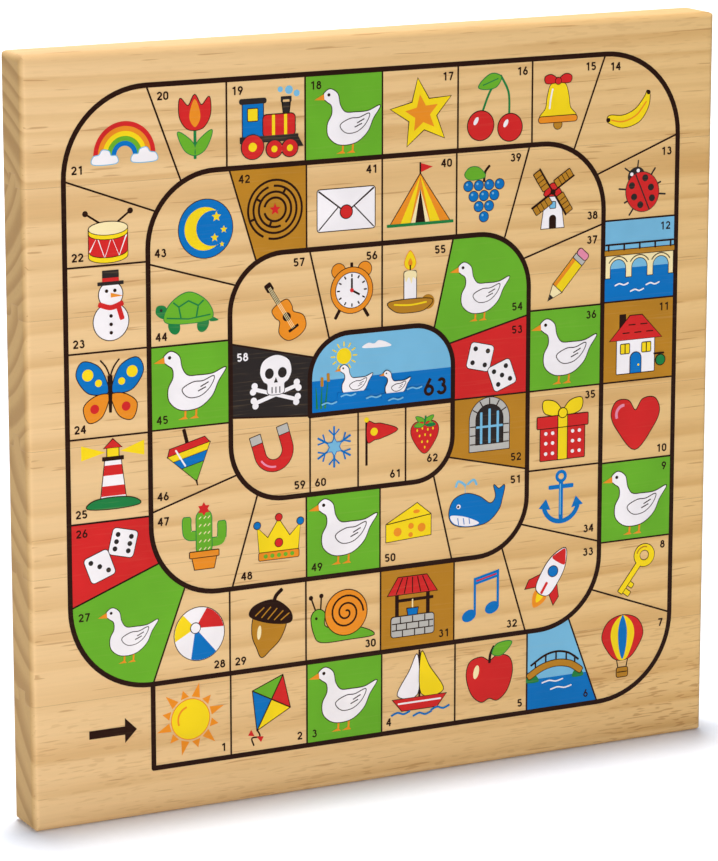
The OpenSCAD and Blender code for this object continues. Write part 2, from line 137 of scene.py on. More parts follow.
# Varnished pine: pale early wood and thin brown late wood in rings, with fibres along the board.
# It gives the eye a warm straw colour, straight streaks on the face and arcs on the end grain; the ends are
# darker partly by nature and partly by painted shade, and the face has painted shade towards its right end.
def varnished_pine(number, behind, above, ring, flecks, tone):
    pine, tree, place = new_material(f"varnished_pine_{number}")
    middle = (number - 0.5) * STAVE
    log = add(tree, "ShaderNodeMapping", {
        "Vector": place, "Location": (APART * number, -behind, -middle - above)}).outputs[0]
    # The trunk wavers a few millimetres over a hand's length, which bends the rings
    waver = noise(tree, log, (4, 14, 14), 2, "Color")
    bent = add(tree, "ShaderNodeVectorMath", {
        0: waver, 1: (0, 9 * MM, 9 * MM), 2: log}, operation="MULTIPLY_ADD").outputs[0]
    across = multiplied(tree, bent, (0, 1, 1))
    radius = add(tree, "ShaderNodeVectorMath", {0: across}, operation="LENGTH").outputs["Value"]
    rings = reckon(tree, "DIVIDE", radius, ring)
    # Good and bad years make wide and narrow rings
    years = add(tree, "ShaderNodeTexNoise", {
        "W": rings, "Scale": 0.37, "Detail": 1}, noise_dimensions="1D").outputs["Fac"]
    season = reckon(tree, "FRACT", reckon(tree, "MULTIPLY_ADD", years, 2.4, rings))
    autumn = ramp(tree, season, 0.3, 0.86, ease="SMOOTHSTEP")
    winter = ramp(tree, season, 0.88, 1.0, 1.0, 0.0)
    late = reckon(tree, "MULTIPLY", autumn, winter)
    # Fibres about 1 mm wide and 40 mm long
    fibres = noise(tree, log, (25, 900, 900), 3, roughness=0.6)
    # The board was cut nearer the root at its right end, where the grain is stronger and has more resin
    place_x = add(tree, "ShaderNodeSeparateXYZ", {0: place}).outputs["X"]
    rightwards = ramp(tree, place_x, -BOARD / 2, BOARD / 2)
    strength = ramp(tree, rightwards, 0, 1, 0.78, 1.1)
    resinous = ramp(tree, rightwards, 0, 1, 0.45, 1.25)
    # Resin flecks about half a millimetre wide and 4 mm long, which gather in some places
    resin = noise(tree, bent, (150, 1300, 1300), 0)
    fleck = ramp(tree, resin, 0.6, 0.7, high=flecks, ease="SMOOTHSTEP")
    patch = noise(tree, log, (9, 40, 40), 1)
    gathered = ramp(tree, patch, 0.36, 0.56, low=0.42)
    sown = reckon(tree, "MULTIPLY", reckon(tree, "MULTIPLY", fleck, gathered), resinous)
    # A few cut resin canals show as thin dark lines up to 25 mm long
    canal = noise(tree, bent, (45, 1100, 1100), 0)
    cut = ramp(tree, canal, 0.74, 0.8, high=0.5, ease="SMOOTHSTEP")
    flecked = reckon(tree, "MAXIMUM", sown, cut)
    # Late wood shows less where the patch is pale
    shown = ramp(tree, patch, 0.35, 0.65, 0.18, 0.54)
    streaks = reckon(tree, "MULTIPLY", reckon(tree, "MULTIPLY", late, shown), strength)
    wood = blend(tree, streaks, linear("#EAC28B"), linear("#C79455"))
    dotted = blend(tree, flecked, wood, linear("#B07C48"))
    # End grain drinks in more of the finish and comes out darker; its colour is also painted darker still,
    # as painted shade on the ends
    facing = add(tree, "ShaderNodeNewGeometry", {}).outputs["Normal"]
    facing_x = add(tree, "ShaderNodeSeparateXYZ", {0: facing}).outputs["X"]
    end = ramp(tree, reckon(tree, "ABSOLUTE", facing_x), 0.4, 0.98, high=0.92)
    arcs = reckon(tree, "MULTIPLY", late, 0.46)
    end_grain_and_painted_shade = blend(tree, arcs, linear("#C29C64"), linear("#8A5F30"))
    sealed = blend(tree, end, dotted, end_grain_and_painted_shade)
    shade = ramp(tree, fibres, 0.25, 0.75, 0.96 * tone, 1.03 * tone)
    # Painted shade: the colour is made darker and yellower towards the right end, standing in for the
    # dimmer light there
    rightward_painted_shade = blend(tree, rightwards, linear("#FFFFFF"), linear("#FBF7E6"))
    surface(tree, {
        "Base Color": multiplied(tree, multiplied(tree, sealed, shade), rightward_painted_shade),
        "Roughness": ramp(tree, fibres, 0, 1, 0.5, 0.65),
        "Normal": relief(tree, fibres, 0.25, 0.08 * MM),
        "IOR": 1.5, "Specular IOR Level": 0.06})
    return pine


def finish(node, material):
    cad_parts[node].data.materials.clear()
    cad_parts[node].data.materials.append(material)


for k, sawn in enumerate(SAWN, start=1):
    finish(f"stave_{k}", varnished_pine(k, **sawn))


# The glue lines: a film of yellowed wood glue in each tongued joint between two staves.
# It was squeezed thin by the clamps and sanded flush, so only a hairline shows.
def wood_glue():
    glue, tree, place = new_material("wood_glue")
    clots = noise(tree, place, (60, 600, 600), 2)
    colour = blend(tree, clots, linear("#C59A62"), linear("#A97F4A"))
    surface(tree, {"Base Color": colour, "Roughness": 0.5, "IOR": 1.5})
    return glue


GLUE = wood_glue()
for k in range(1, STAVES):
    finish(f"glue_line_{k}", GLUE)


# The goose side's print: a track of 63 cells in a square spiral, screen-printed on the sanded pine.
# The ink lies thin, so the fibres stand in it and a little wood shows through along them.
def printing_ink(name, colour, cover):
    ink, tree, place = new_material(f"printing_ink_{name}")
    # Fibres about 1 mm wide and 30 mm long, as in the pine
    fibres = noise(tree, place, (33, 900, 900), 3, roughness=0.6)
    thin = ramp(tree, fibres, 0.55, 0.8, high=1 - cover)
    printed = blend(tree, thin, linear(colour), linear("#D9B27A"))
    # The squeegee leaves the film a little uneven over some 20 mm
    cloud = noise(tree, place, (50, 50, 50), 2)
    mottle = ramp(tree, cloud, 0.3, 0.7, 0.94, 1.06)
    surface(tree, {
        "Base Color": multiplied(tree, printed, mottle),
        "Roughness": ramp(tree, fibres, 0, 1, 0.35, 0.5),
        "Normal": relief(tree, fibres, 0.2, 0.05 * MM),
        "IOR": 1.48, "Specular IOR Level": 0.1})
    return ink


BROWN = printing_ink("brown", "#260C00", 0.97)
WHITE = printing_ink("white", "#F2E9E5", 0.94)
GREEN = printing_ink("green", "#67AA26", 0.94)
RED = printing_ink("red", "#D02422", 0.94)
OCHRE = printing_ink("ochre", "#B67C1E", 0.86)
BLACK = printing_ink("black", "#2A2320", 0.85)
SKY = printing_ink("sky", "#76B4D0", 0.94)
BLUE = printing_ink("blue", "#006EB4", 0.97)
YELLOW = printing_ink("yellow", "#F3D016", 0.94)
for node in ("track_line", "cell_dividers", "cell_numbers", "start_arrow"):
    finish(node, BROWN)
finish("black_cell_number", WHITE)
finish("green_cells", GREEN)
finish("red_cells", RED)
finish("ochre_cells", OCHRE)
finish("black_cell", BLACK)
finish("sky_fields", SKY)
finish("water_fields", BLUE)

# The pictures: each cell of the track holds a small drawing, printed in flat inks with thin brown outlines.
# Every ink is one more pass of the screen, so each film lies a hair higher than the one under it.
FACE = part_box("stave_1")[0].y
TRACK = [(low + high) / 2 for low, high in zip(*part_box("track_line"))]
# Width of the track and side of its home square in mm, and the cells of each run before its corner cell
CELL = 34
HOME = 63
SQUARES_IN_RUN = [6, 6, 6, 5, 5, 4, 4, 3, 3, 2, 2, 1]
# The cells with a coloured ground, on which the drawing starts one film higher
TINTED = [3, 6, 9, 11, 12, 18, 26, 27, 31, 36, 42, 45, 49, 52, 53, 54, 58, 63]
# The drawings were made for squares of 45 mm and are reduced to the cell
DRAWN = 45
REDUCED = CELL / DRAWN
# In mm: a coloured ground's film, one pass of ink, the brown line round a colour as drawn,
# and how near to each other two points count as one
GROUND = 0.1
PASS = 0.02
OUTLINE = 0.4
WELD = 0.002
ORANGE = printing_ink("orange", "#E98A1E", 0.85)
LEAF = printing_ink("leaf_green", "#1C7A3C", 0.85)
CREAM = printing_ink("cream", "#F5DFA6", 0.8)
ROSE = printing_ink("rose", "#E58AA0", 0.85)
GREY = printing_ink("grey", "#B9B3A8", 0.85)


# Where run number j of the spiral starts, from the middle of the track
def bend(j):
    if j == 0:
        return (-HOME / 2 - 2 * CELL, -HOME / 2 - 3 * CELL)
    a = HOME / 2 + (3 - (j - 1) // 4) * CELL
    return ((a, -a), (a, a), (-a, a), (-a, CELL - a))[(j - 1) % 4]


# How far a drawing moves back and inwards from the middle of its cell, and how large it may be.
# A cell at a bend reaches further in, and the cells before and after it are cut by its slanted lines.
ROOMS = {
    "between": (1, 1, 1.26), "bend": (7, 7, 1.12), "last bend": (2, 2, 1.05),
    "alone": (0, 0, 1), "after bend": (-4.5, -0.5, 1.08), "before bend": (4.5, -0.5, 1.08)}


# Places and sizes of the drawings, found by walking the spiral.
# The last three cells before the end lie side by side at the foot of the home square.
def cell_middles():
    middles = {}
    for run, squares in enumerate(SQUARES_IN_RUN):
        (x0, y0), (x1, y1) = bend(run), bend(run + 1)
        length = math.hypot(x1 - x0, y1 - y0)
        ahead = ((x1 - x0) / length, (y1 - y0) / length)
        first = CELL if run else 0
        for k in range(squares + 1):
            along = first + (length - CELL - first) * (k + 0.5) / squares
            kind = "between"
            if k == squares:
                along = length - CELL / 2
                kind = "bend" if run < len(SQUARES_IN_RUN) - 1 else "last bend"
            elif squares == 1:
                kind = "alone"
            elif k == 0 and run:
                kind = "after bend"
            elif k == squares - 1:
                kind = "before bend"
            back, inwards, room = ROOMS[kind]
            along -= back * REDUCED
            across = CELL / 2 + inwards * REDUCED
            middles[len(middles) + 1] = (
                x0 + ahead[0] * along - ahead[1] * across, y0 + ahead[1] * along + ahead[0] * across, room)
    for third in (-1, 0, 1):
        middles[len(middles) + 1] = (HOME / 3 * third, -HOME / 4 + 1.5, 1)
    middles[len(middles) + 1] = (0, HOME / 4, 0.92)
    return middles


MIDDLES = cell_middles()


def moved(outline, x, y):
    return [(px + x, py + y) for px, py in outline]


def turned(outline, degrees):
    c, s = math.cos(math.radians(degrees)), math.sin(math.radians(degrees))
    return [(c * x - s * y, s * x + c * y) for x, y in outline]


def mirrored(outline):
    return [(-x, y) for x, y in outline]


def pair(outline):
    return outline, mirrored(outline)


def scaled(outline, by):
    return [(x * by, y * by) for x, y in outline]


def arc(x, y, r, start, end, steps=20):
    angles = [math.radians(start + (end - start) * k / steps) for k in range(steps + 1)]
    return [(x + r * math.cos(a), y + r * math.sin(a)) for a in angles]


def disc(x, y, wide, tall=None, turn=0):
    tall = wide if tall is None else tall
    outline = [(wide * px, tall * py) for px, py in arc(0, 0, 1, 0, 360, 36)[:-1]]
    return moved(turned(outline, turn), x, y)


# A round arch on two straight sides
def arch(x, y, r, foot):
    return [(x - r, foot)] + arc(x, y, r, 180, 0) + [(x + r, foot)]


def box(x0, y0, x1, y1, r=0.3):
    corners = ((x1 - r, y1 - r, 0), (x0 + r, y1 - r, 90), (x0 + r, y0 + r, 180), (x1 - r, y0 + r, 270))
    return [p for x, y, start in corners for p in arc(x, y, r, start, start + 90, 4)]


# A smooth line through a few points, closed to an outline or left open
def smooth(points, closed=True):
    n = len(points)
    line = []
    for k in range(n if closed else n - 1):
        near = [points[(k + d) % n] if closed else points[min(max(k + d, 0), n - 1)] for d in (-1, 0, 1, 2)]
        for t in (0, 1 / 6, 1 / 3, 1 / 2, 2 / 3, 5 / 6):
            line.append(tuple(
                b + 0.5 * t * (c - a + t * (2 * a - 5 * b + 4 * c - d + t * (3 * (b - c) + d - a)))
                for a, b, c, d in zip(*near)))
    return line if closed else line + [points[-1]]


def curve(*points):
    return smooth(points, False)


# A smooth outline that is the same on both sides, from the points of its right half
def even(*half):
    return smooth(half + tuple((-x, y) for x, y in half[::-1] if x))


# A stroke of the pen along a line, with round ends
def stroke(points, width, tip=None):
    tip = width if tip is None else tip
    last = len(points) - 1
    sides = ([], [])
    for k, (x, y) in enumerate(points):
        ax, ay = points[max(k - 1, 0)]
        bx, by = points[min(k + 1, last)]
        half = (width + (tip - width) * k / last) / 2
        heading = math.degrees(math.atan2(by - ay, bx - ax))
        for side, way in zip(sides, (-1, 1)):
            swing = heading + way * 90
            if k == 0:
                side.append(arc(x, y, half, swing + way * 45, swing, 2))
            elif k == last:
                side.append(arc(x, y, half, swing, swing - way * 45, 2))
            else:
                side.append(arc(x, y, half, swing, swing, 1)[:1])
    right, left = ([p for part in side for p in part] for side in sides)
    return right + left[::-1]


# One line of rippled water
def ripple(x, y, step, high, width):
    return stroke(curve((x, y), (x + step, y + high), (x + 2 * step, y), (x + 3 * step, y + high)), width)


def star(x, y, r, points=5, waist=0.45):
    return [
        moved(turned([(0, r * (waist if k % 2 else 1))], 180 * k / points), x, y)[0]
        for k in range(2 * points)]


def leaf(x, y, length, wide, turn):
    outline = smooth([(0, 0), (0.3, 0.5), (0.7, 0.38), (1, 0), (0.7, -0.38), (0.3, -0.5)])
    return moved(turned([(length * px, wide * py) for px, py in outline], turn), x, y)


# The same outline a little larger, for the brown line round a flat colour
def grown(outline, by):
    n = len(outline)
    area = sum(a[0] * b[1] - b[0] * a[1] for a, b in zip(outline, outline[1:] + outline[:1]))
    way = by if area > 0 else -by
    larger = []
    for k, (x, y) in enumerate(outline):
        (ax, ay), (bx, by_) = outline[k - 1], outline[(k + 1) % n]
        before, after = math.atan2(y - ay, x - ax), math.atan2(by_ - y, bx - x)
        nx = math.sin(before) + math.sin(after)
        ny = -math.cos(before) - math.cos(after)
        reach = way / max(0.5, (nx * nx + ny * ny) / 2)
        larger.append((x + nx * reach, y + ny * reach))
    return larger


films = []


# One pass of one ink: outlines beside each other are all filled, and one inside another is a hole
def film(ink, *outlines, edge=None):
    if edge:
        film(edge, *[grown(outline, OUTLINE) for outline in outlines])
    drawing = bpy.data.curves.new("film", "CURVE")
    drawing.dimensions = "2D"
    drawing.fill_mode = "BOTH"
    drawing.materials.append(ink)
    for outline in outlines:
        line = drawing.splines.new("POLY")
        line.use_cyclic_u = True
        line.points.add(len(outline) - 1)
        for point, (x, y) in zip(line.points, outline):
            point.co = (x, y, 0, 1)
    sheet = bpy.data.objects.new("film", drawing)
    bpy.context.scene.collection.objects.link(sheet)
    films.append(sheet)


# One pass of strokes of the same width
def pen(ink, width, *paths, edge=None):
    film(ink, *[stroke(path, width) for path in paths], edge=edge)


# Lays the films on a cell, one on another, and makes them one picture on the wood or on the cell's ground
def print_picture(cell, name, turn=0, size=1.0, shift=(0, 0)):
    x, y, room = MIDDLES[cell]
    x += shift[0] * REDUCED
    y += shift[1] * REDUCED
    by = size * room * REDUCED * MM
    depth = FACE - (GROUND * MM if cell in TINTED else 0)
    bpy.ops.object.select_all(action="DESELECT")
    for level, sheet in enumerate(films, start=1):
        sheet.data.extrude = PASS * level / 2
        sheet.select_set(True)
    bpy.context.view_layer.objects.active = films[0]
    bpy.ops.object.convert(target="MESH")
    for level, sheet in enumerate(films, start=1):
        sheet.location = (TRACK[0] + x * MM, depth - PASS * level / 2 * MM, TRACK[2] + y * MM)
        sheet.rotation_euler = (math.pi / 2, math.radians(-turn), 0)
        sheet.scale = (by, by, MM)
    bpy.ops.object.transform_apply(location=True, rotation=True, scale=True)
    if len(films) > 1:
        bpy.ops.object.join()
    picture = bpy.context.object
    bpy.ops.object.mode_set(mode="EDIT")
    bpy.ops.mesh.select_all(action="SELECT")
    bpy.ops.mesh.remove_doubles(threshold=WELD * MM)
    bpy.ops.mesh.normals_make_consistent(inside=False)
    bpy.ops.object.mode_set(mode="OBJECT")
    picture.name = f"picture_{cell}_{name}"
    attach(picture, "root")
    films.clear()


# The geese: a white goose on each green cell, the luck of the game.
# The legs and feet come first, then white ink over the green, the beak and a few brown lines.
def goose(by=1.0, x=0, y=0):
    def placed(outline):
        return moved(scaled(outline, by), x, y)

    body = smooth([
        (-8.3, 14.4), (-11.2, 13), (-12, 10.8), (-10.2, 9), (-7.8, 7), (-7.6, 3), (-9.8, -1.5), (-9.2, -7),
        (-4, -10.8), (4, -10.4), (10, -6), (13, 0), (16.5, 5.5), (10.5, 3.4), (4, 3.2), (-1, 3.6),
        (-3.6, 7), (-4.8, 12)])
    wing = smooth([(-3.4, -2.2), (1.4, 0.4), (6, 0.6), (11, 2.2), (9, -2.2), (4.6, -5.4), (-0.6, -5.6)])
    feathers = [[(8.4, 0), (5, -1.6)], [(7.2, -2), (3.8, -3.4)]]
    film(WHITE, placed(body), edge=BROWN)
    film(ORANGE, placed([(-11.6, 12.4), (-16.4, 10), (-11.4, 9.6)]))
    film(BROWN, placed(disc(-9.2, 11.9, 0.75)))
    film(WHITE, placed(wing), edge=BROWN)
    film(BROWN, *[placed(stroke(feather, 0.5)) for feather in feathers])


for cell in (3, 9, 18, 27, 36, 45, 49, 54):
    pen(ORANGE, 0.9, *[[(x, -10), (x - 0.3, -14.2)] for x in (-2, 3)])
    film(ORANGE, *[[(x - 3.4, -15), (x - 0.2, -13.6), (x + 1, -15)] for x in (-2, 3)])
    goose()
    size = 0.9 if cell in (18, 27) else 0.96
    shift = {18: (0.8, -1.2), 27: (2, -1), 45: (-1.2, 0), 49: (0.6, 0.6)}.get(cell, (0, 0))
    print_picture(cell, "goose", size=size, shift=shift)

# The hazards and helps: bridges, inn, dice, well, maze, prison, skull and pond, on their coloured grounds.
# They are the traditional places of the game, each drawn plainly in three or four inks.
film(
    LEAF, smooth([(-17, -7), (-16.5, -3.6), (-12.5, -3), (-10, -7)]),
    smooth([(16, -7), (14.5, -3.6), (11.5, -3), (9.5, -7)]))
rail = curve((-14.5, 2), (-7, 6.2), (0, 7.6), (7, 6.2), (13, 2))
posts = [[(x, 7.4 - 0.028 * x * x), (x, 1.6 - 0.028 * x * x)] for x in (-12, -6, 0, 6, 11)]
pen(BROWN, 0.9, *posts)
pen(BROWN, 1.1, rail)
pen(OCHRE, 3.2, curve((-15.5, -3.6), (-8, 0.2), (0, 1.6), (8, 0.2), (14, -3.6)), edge=BROWN)
for x, y in ((-8, -8), (-3, -12)):
    film(WHITE, ripple(x, y, 4, 0.8, 0.7))
print_picture(6, "footbridge", size=0.98, shift=(0.5, 1.7))

arches = [p for x in (-12.4, 0, 12.4) for p in arch(x, -3.4, 4.7, -8)]
film(CREAM, [(-19.5, -8)] + arches + [(19.5, -8), (19.5, 5), (-19.5, 5)], edge=BROWN)
film(OCHRE, box(-20.2, 3.4, 20.2, 5.8), edge=BROWN)
pen(BROWN, 0.5, *[arc(x, -3.4, 6, 150, 30) for x in (-12.4, 0, 12.4)])
pen(BROWN, 0.9, *[[(x, 5.8), (x, 8.6)] for x in (-18, -9, 0, 9, 18)])
pen(BROWN, 0.9, [(-19.5, 8.8), (19.5, 8.8)])
film(WHITE, *[ripple(x, y, 2.5, 0.8, 0.7) for x, y in ((-14, -12), (4, -13), (-5, -15.6))])
print_picture(12, "stone_bridge", size=0.845, shift=(1, 0.6))

film(BROWN, box(-8.4, 6, -5, 13.5))
film(WHITE, box(-9.5, -13, 9.5, 2.5), edge=BROWN)
film(RED, [(-13, 2), (-3, 12.5), (3, 12.5), (13, 2)], edge=BROWN)
tiles = ((-5, 5), (1, 5), (7, 5), (-2, 8.5), (4, 8.5))
pen(BROWN, 0.5, *[[(x - 1.6, y), (x + 1.6, y)] for x, y in tiles])
film(YELLOW, *pair(box(3.3, -4, 7.5, 0)), edge=BROWN)
pen(BROWN, 0.5, *pair([(5.4, -4), (5.4, 0)]))
film(BLUE, arch(0, -6.6, 2.6, -13), edge=BROWN)
film(YELLOW, disc(1.4, -9.6, 0.5))
pen(BROWN, 0.8, [(9.5, -5.4), (14.2, -5.4)])
film(LEAF, disc(12.6, -8.4, 2.2), edge=BROWN)
print_picture(11, "inn", size=0.97, shift=(-0.6, -0.8))

DIE = 6.6
PIPS = {
    3: [(-1, 1), (0, 0), (1, -1)], 4: [(-1, -1), (-1, 1), (1, -1), (1, 1)],
    5: [(-1, -1), (-1, 1), (1, -1), (1, 1), (0, 0)], 6: [(x, y) for x in (-1, 1) for y in (-1, 0, 1)]}
for cell, way, rolled in ((26, -1, (6, 3)), (53, 1, (4, 5))):
    for (x, y, tilt), pips in zip(((-6.5 * way, 4.5, -14), (6 * way, -6, 20)), rolled):
        film(WHITE, moved(turned(box(-DIE, -DIE, DIE, DIE, 1.8), tilt), x, y), edge=BROWN)
        spots = turned([(3.6 * px, 3.6 * py) for px, py in PIPS[pips]], tilt)
        film(BLACK, *[disc(x + px, y + py, 1.25) for px, py in spots])
    print_picture(cell, "dice", size=0.97, shift=(0, 0.6) if way == 1 else (0.6, 0.6))

pen(BROWN, 1.8, *pair([(7.6, -4), (7.6, 6)]))
film(RED, [(-12, 5.4), (-7, 13), (7, 13), (12, 5.4)], edge=BROWN)
pen(BROWN, 0.5, *[[(x, 5.8), (0.62 * x, 12.6)] for x in (-8, -4, 0, 4, 8)])
pen(BROWN, 1.4, [(-7.6, 2.6), (9.8, 2.6)])
pen(CREAM, 0.6, [(0, 2.6), (0, -1.4)])
film(BLUE, [(-2.6, -1.4), (2.6, -1.4), (2, -5), (-2, -5)], edge=BROWN)
film(GREY, box(-10.4, -13.5, 10.4, -4.6, 1.2), edge=BROWN)
pen(BROWN, 0.5, *[[(-10, y), (10, y)] for y in (-7.6, -10.6)])
stones = [(x, y) for y, row in ((-4.9, (-6, 0, 6)), (-8, (-8, -3, 3, 8)), (-11, (-5, 1, 6))) for x in row]
pen(BROWN, 0.5, *[[(x, y), (x, y - 2.4)] for x, y in stones])
print_picture(31, "well", size=0.96, shift=(-2, 0))

for r, gap in ((14, 250), (11.2, 100), (8.4, 300), (5.6, 180)):
    pen(BROWN, 1.1, arc(0, 0, r, gap + 100 / r, gap + 360 - 100 / r, 40))
walls = ((11.2, 200), (8.4, 60), (5.6, 250), (8.4, 150))
pen(BROWN, 1.1, *[turned([(r, 0), (r + 2.8, 0)], angle) for r, angle in walls])
film(RED, star(0, 0, 3))
print_picture(42, "round_maze", shift=(-0.6, -0.6))

film(GREY, arch(0, 2.4, 11, -13), edge=BROWN)
film(BLACK, arch(0, 2.4, 7.4, -9.5), edge=BROWN)
pen(SKY, 1.3, *[[(x, -9), (x, 7.4 - 0.07 * x * x)] for x in (-4.6, 0, 4.6)])
pen(SKY, 1.1, [(-7, -1), (7, -1)])
pen(BROWN, 0.5, *[[(x * 7.8, y), (x * 10.6, y)] for x in (-1, 1) for y in (-9.4, -5, -0.6)])
wedges = [turned([(7.8, 0), (10.6, 0)], 30 * k) for k in range(1, 6)]
pen(BROWN, 0.5, *[moved(wedge, 0, 2.4) for wedge in wedges])
print_picture(52, "prison_window", size=1.0, shift=(-1, 1.2))

for tilt in (-1, 1):
    pen(WHITE, 2.2, [(-13 * tilt, -13), (13 * tilt, -5)])
    film(WHITE, *[disc(x * tilt, y, 1.9) for x, y in ((-13.6, -11.4), (13, -3.2))])
    film(WHITE, *[disc(x * tilt, y, 1.9) for x, y in ((-12.6, -14.4), (14, -6.4))])
film(WHITE, even((0, 13.4), (7.6, 10.4), (9.6, 4), (7.6, -1), (5.2, -3), (4.8, -8), (0, -9)), edge=BLACK)
film(BLACK, *pair(disc(4, 3.2, 2.7, 3)))
film(BLACK, [(-1.3, -2.2), (0, 0.8), (1.3, -2.2)])
pen(BLACK, 0.6, *[[(x, -4.8), (x, -8)] for x in (-2.4, 0, 2.4)])
print_picture(58, "skull", size=0.92, shift=(3, -1))

film(YELLOW, disc(-24, 9.5, 4.6))
pen(YELLOW, 0.8, *[moved(turned([(5.8, 0), (8, 0)], 30 * k), -24, 9.5) for k in range(12)])
film(WHITE, smooth([(-12, 13), (-9, 15.6), (-5, 15), (-2, 16.6), (3, 15), (5, 12.6)]))
film(LEAF, *[stroke(curve((x, -19), (x + bow / 2, -12), (x + bow, -3 - 2 * k)), 1.2, 0.3)
             for k, (x, bow) in enumerate(((-36, 2), (-38.4, 0.6), (-41, -0.6)))])
pen(OCHRE, 1.8, [(-33.8, -3.6), (-34, 0)], [(-37.8, -6), (-37.8, -2)])
for by, x, y in ((0.72, -18, -6), (0.6, 8, -10)):
    goose(by, x, y)
    film(BLUE, moved(scaled([(-14, -7.4), (14, -7.4), (14, -12), (-14, -12)], by), x, y))
ripples = ((-26, -13.4), (-10, -16), (4, -18.6), (16, -13.4), (-38, -17))
film(SKY, *[ripple(x, y, 3, 0.8, 0.8) for x, y in ripples])
print_picture(63, "pond")

# The pictures in the open cells, first fruit and plants, printed straight on the bare pine.
# Flat colour first, then a pale glint and the brown stalks and veins.
film(RED, even((0, 6.6), (4, 8.6), (9.4, 7), (11, 1), (8.6, -7), (4, -11), (0, -9.8)), edge=BROWN)
film(CREAM, disc(-6.4, 2.4, 1.3, 3, -12))
pen(BROWN, 1.2, curve((0, 6), (0.4, 9.4), (2, 12.6)))
film(GREEN, leaf(1.4, 9.6, 10, 5, 24), edge=LEAF)
print_picture(5, "apple")

pen(LEAF, 1, curve((-5.6, -1.4), (-2, 7), (3, 13)), curve((7, -3), (6.6, 6), (3, 13)))
film(RED, disc(-6.4, -7, 6), disc(7.4, -8.6, 5.6), edge=BROWN)
film(WHITE, disc(-8.6, -5, 0.9, 1.8, -30), disc(5.4, -6.8, 0.9, 1.8, -30))
film(GREEN, leaf(3, 12.6, 11, 5.6, 200), edge=LEAF)
pen(LEAF, 0.5, [(1.6, 12), (-5.4, 9.6)])
print_picture(16, "cherries", shift=(-1.5, -0.5))

pen(LEAF, 1.5, [(0, -15), (0, 0)])
film(GREEN, leaf(0, -13.6, 14, 5, 52), leaf(0, -13.6, 14, 5, 128), edge=LEAF)
film(RED, even((0, 14.4), (3.4, 9.4), (7.4, 13), (7.8, 5), (4.6, -0.6), (0, -2)), edge=BROWN)
film(ORANGE, leaf(0, -0.6, 13, 5.4, 90))
print_picture(20, "tulip")

film(OCHRE, even((0, -14), (3, -10.6), (6.6, -5), (7.2, 3), (0, 5)), edge=BROWN)
film(CREAM, disc(-3.6, -4, 0.9, 3, 8))
film(BROWN, even((0, 10.6), (8.4, 7), (9.6, 2), (0, 0.4)))
pen(OCHRE, 0.5, *[[(x, 2 + 0.1 * abs(x)), (x + 3, 7.4 - 0.2 * abs(x + 3))] for x in range(-7, 6, 3)])
pen(BROWN, 1.6, curve((0, 10), (0.4, 12.4), (2.2, 15)))
print_picture(29, "acorn", turn=-14, shift=(1.5, 0))

berries = [(6 * k - 9 + 3 * row, 4.4 - 5.4 * row) for row in range(4) for k in range(4 - row)]
film(BLUE, *[disc(x, y, 2.5) for x, y in berries], edge=BROWN)
film(SKY, *[disc(x - 0.8, y + 0.9, 0.6) for x, y in berries])
pen(BROWN, 1.3, curve((0, 6.4), (0.6, 11), (3, 14)))
film(GREEN, smooth([(0.6, 9), (-3, 13.4), (-8, 13.8), (-11, 10.6), (-9, 8), (-4.6, 7.6)]), edge=LEAF)
print_picture(39, "grapes", size=0.95, shift=(-1, -1.6))

film(YELLOW, smooth([
    (11, 7), (9.6, 9), (8, 6), (3, 0.4), (-4, -2.4), (-11, -2), (-13, -3.4), (-12, -5.6), (-4, -8.4),
    (5, -6), (10, 0.6)]), edge=BROWN)
film(BROWN, disc(10.3, 8.2, 1.1))
film(BROWN, disc(-12.4, -4.2, 1.1))
pen(ORANGE, 0.7, curve((9, 3.6), (3.6, -2.6), (-4, -5.4), (-10.6, -4.4)))
print_picture(14, "banana", size=0.96, shift=(0, -1))

arms = curve((2, -3), (8, -2.6), (9, 1), (9, 5)), curve((-2, 1), (-7.6, 1.4), (-8.6, 5), (-8.6, 8.4))
pen(GREEN, 4, *arms, edge=LEAF)
film(GREEN, box(-3.8, -9, 3.8, 12.6, 3.7), edge=LEAF)
pen(CREAM, 0.45, *[[(x, y), (x + 0.9, y + 0.9)] for x in (-2.4, 0, 2) for y in (-6, -2.4, 1.4, 5, 8.6)])
film(RED, star(0, 13, 3.2, 6, 0.6))
film(ORANGE, [(-6.4, -8), (6.4, -8), (4.8, -15), (-4.8, -15)], edge=BROWN)
film(ORANGE, box(-7.2, -9.4, 7.2, -6.8), edge=BROWN)
print_picture(47, "cactus")

film(RED, even((0, 7.6), (6, 7.6), (9, 3.4), (7, -3.4), (0, -11)), edge=BROWN)
seeds = [
    (-5, 3), (-1.6, 4), (2, 3), (5.4, 3.4), (-3.4, -0.4), (0.2, 0), (3.8, -0.6), (-1.8, -4), (1.8, -4.2),
    (0, -7.4)]
film(YELLOW, *[disc(x, y, 0.5, 0.8) for x, y in seeds])
film(GREEN, *[leaf(0, 7, 7, 3, angle) for angle in (-12, 35, 145, 192)], edge=LEAF)
pen(LEAF, 1.1, [(0, 7), (0.6, 11)])
print_picture(62, "strawberry", size=0.9, shift=(-2.6, 2))

